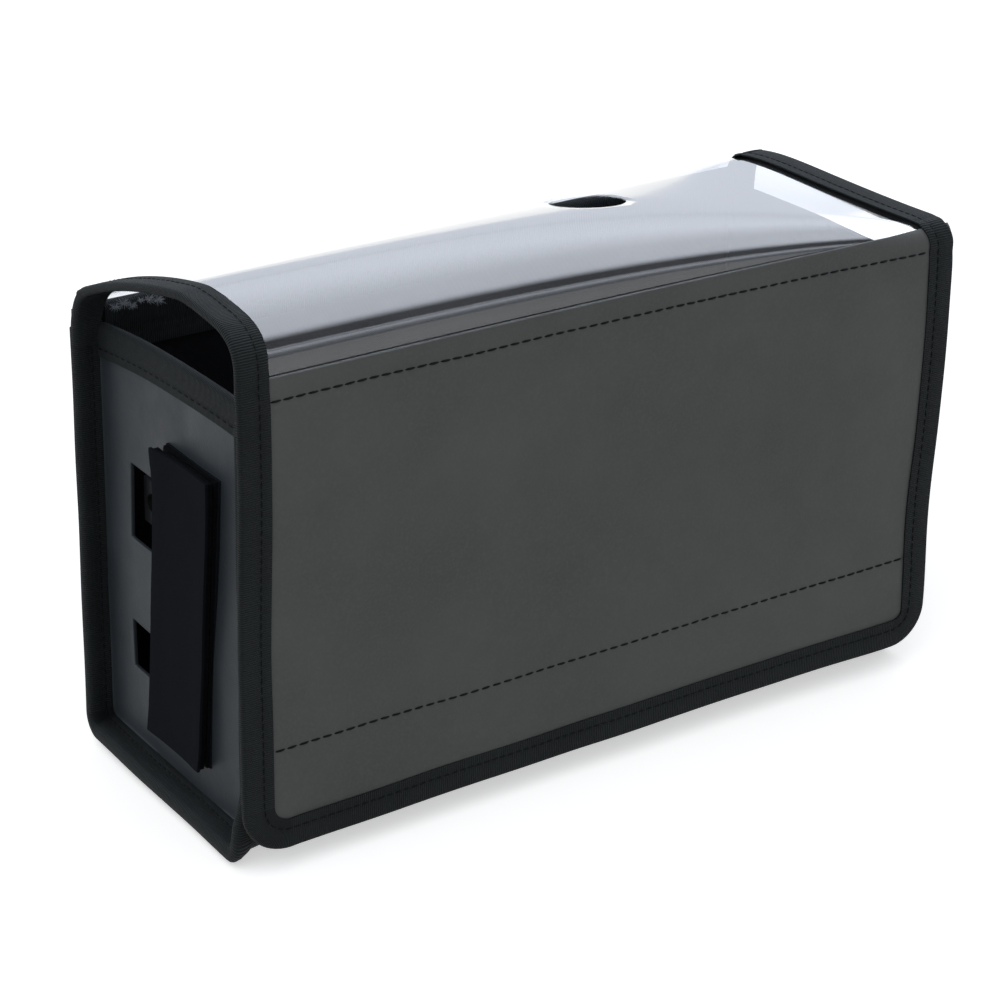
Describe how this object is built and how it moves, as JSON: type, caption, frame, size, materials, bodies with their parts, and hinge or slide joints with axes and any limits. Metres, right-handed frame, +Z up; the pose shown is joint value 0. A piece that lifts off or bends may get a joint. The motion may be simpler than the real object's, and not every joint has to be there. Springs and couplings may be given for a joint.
{
  "type": "lithium polymer battery in a soft case",
  "caption": "Soft sheet case with bound seams, a clear film lid that folds down as a front flap, two lead cut-outs and a hook-and-loop strip, holding a sleeved pouch-cell pack",
  "frame": {"origin": "middle of the tub's flat underside", "axes": "+X along the case's length to the end without cut-outs, -Y towards the front flap, +Z up"},
  "size_m": [0.3, 0.1187, 0.1973],
  "materials": {
    "vinyl_grey": "fine-grained PVC-coated sheet",
    "end_grey": "fine-grained PVC-coated sheet",
    "binding_black": "ribbed grosgrain tape",
    "hook_black": "hook-and-loop pile",
    "lining_black": "black woven lining",
    "stiffener_board": "stiff sheet",
    "clear_film": "clear glossy film",
    "cell_foil": "laminated pouch foil",
    "guard_sheet": "glass-fibre sheet",
    "circuit_board": "solder-masked board",
    "sleeve_black": "heat-shrink sleeve",
    "label_grey": "plain label",
    "lead_red": "silicone insulation",
    "lead_black": "silicone insulation",
    "housing_black": "moulded nylon",
    "contact_brass": "turned contact"
  },
  "bodies": {
    "case": {"wrap_panel": "vinyl_grey", "wrap_lining": "lining_black", "rear_board": "stiffener_board", "bottom_board": "stiffener_board", "front_board": "stiffener_board", "left_end_panel": "end_grey", "right_end_panel": "end_grey", "left_end_top_binding": "binding_black", "right_end_top_binding": "binding_black", "left_seam_binding": "binding_black", "right_seam_binding": "binding_black", "front_rim_binding": "binding_black", "rear_hem_strip": "binding_black", "loop_tape": "hook_black", "port_strip_base": "hook_black", "cell_1": "cell_foil", "cell_2": "cell_foil", "cell_3": "cell_foil", "cell_4": "cell_foil", "cell_5": "cell_foil", "cell_6": "cell_foil", "front_guard_plate": "guard_sheet", "rear_guard_plate": "guard_sheet", "pack_sleeve": "sleeve_black", "terminal_board": "circuit_board", "pack_label": "label_grey", "positive_lead": "lead_red", "negative_lead": "lead_black", "main_connector": "housing_black", "connector_contact_1": "contact_brass", "connector_contact_2": "contact_brass", "balance_lead": "lead_black", "balance_plug": "housing_black"},
    "lid_top": {"window_film": "clear_film", "lid_binding_left": "binding_black", "lid_binding_right": "binding_black"},
    "lid_front": {"front_panel": "vinyl_grey", "front_facing": "vinyl_grey", "hook_tape": "hook_black", "lid_binding_front": "binding_black"},
    "strip_flap": {"port_flap": "hook_black"}
  },
  "joints": [
    {"name": "lid_hinge", "type": "hinge", "parent": "case", "child": "lid_top", "pos_m": [0, 0.0586, 0.1672], "axis": [-1, 0, 0], "range_deg": [0, 200]},
    {"name": "front_fold", "type": "hinge", "parent": "lid_top", "child": "lid_front", "pos_m": [0, -0.0549, 0.185], "axis": [-0.9977, 0.0086, 0.0665], "range_deg": [0, 90]},
    {"name": "strip_peel", "type": "hinge", "parent": "case", "child": "strip_flap", "pos_m": [-0.1426, -0.026, 0.0755], "axis": [0, -0.0872, 0.9962], "range_deg": [0, 100]}
  ]
}
